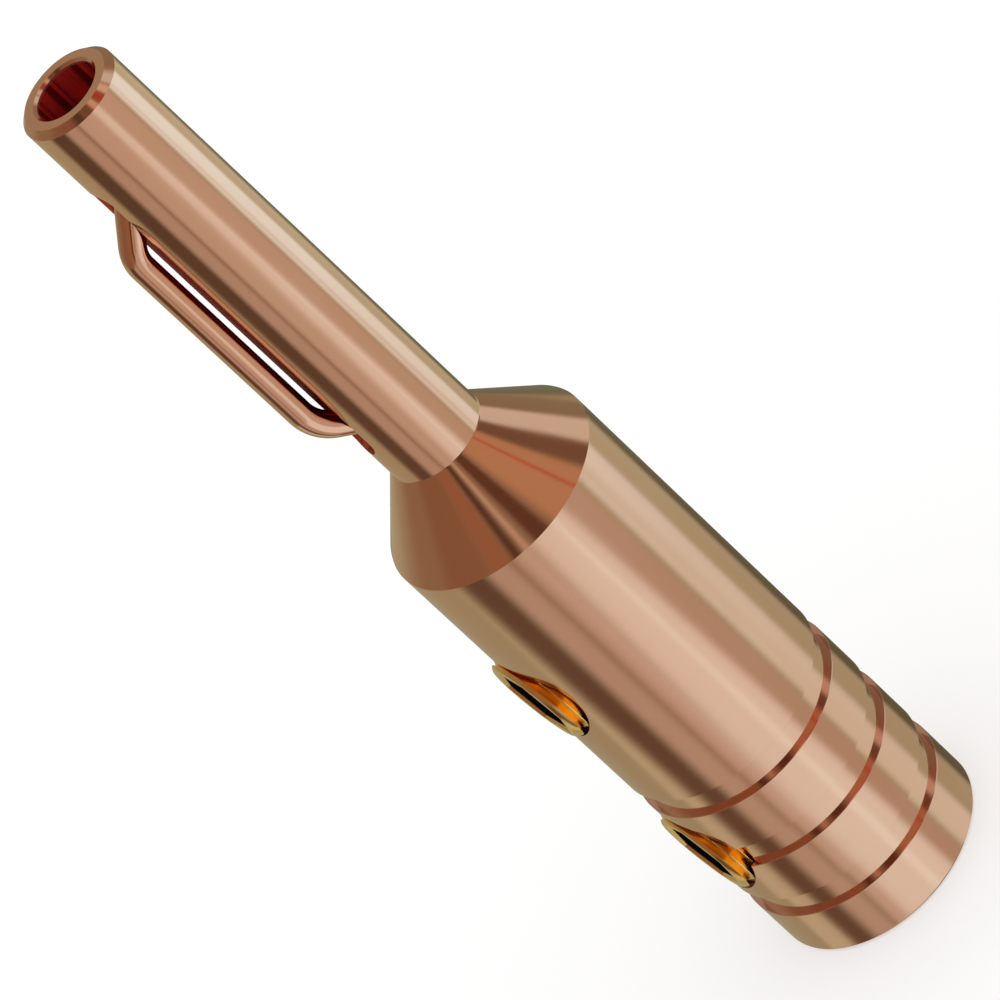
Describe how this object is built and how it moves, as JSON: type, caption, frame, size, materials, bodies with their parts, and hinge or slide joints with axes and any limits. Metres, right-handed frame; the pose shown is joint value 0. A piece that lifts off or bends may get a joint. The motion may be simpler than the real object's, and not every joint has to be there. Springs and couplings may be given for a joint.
{
  "type": "banana plug",
  "caption": "Slim banana plug: hollow round pin with a sprung wire bow, a cone, and a straight body with turned grooves, a cable hole and side set screws.",
  "frame": {"origin": "centre of the cable end's flat face, which the part stands on", "axes": "+Z along the plug towards the pin's tip, +X out through the wire bow and the set screws"},
  "size_m": [0.009, 0.0088, 0.0472],
  "materials": {
    "copper_body": "polished bare copper",
    "copper_spring": "polished copper alloy wire",
    "gold_screws": "gold plated"
  },
  "bodies": {
    "plug": {"plug_body": "copper_body"},
    "bow": {"contact_spring": "copper_spring"},
    "front_screw": {"set_screw_front": "gold_screws"},
    "rear_screw": {"set_screw_rear": "gold_screws"}
  },
  "joints": [
    {"name": "bow_press", "type": "slide", "parent": "plug", "child": "bow", "axis": [-1, 0, 0], "range_m": [0, 0.00115], "stiffness_N_per_m": 4000, "springref_m": -0.0001},
    {"name": "front_screw_feed", "type": "slide", "parent": "plug", "child": "front_screw", "axis": [-1, 0, 0], "range_m": [-0.0012, 0.0015]},
    {"name": "rear_screw_feed", "type": "slide", "parent": "plug", "child": "rear_screw", "axis": [-1, 0, 0], "range_m": [-0.0012, 0.0015]}
  ]
}
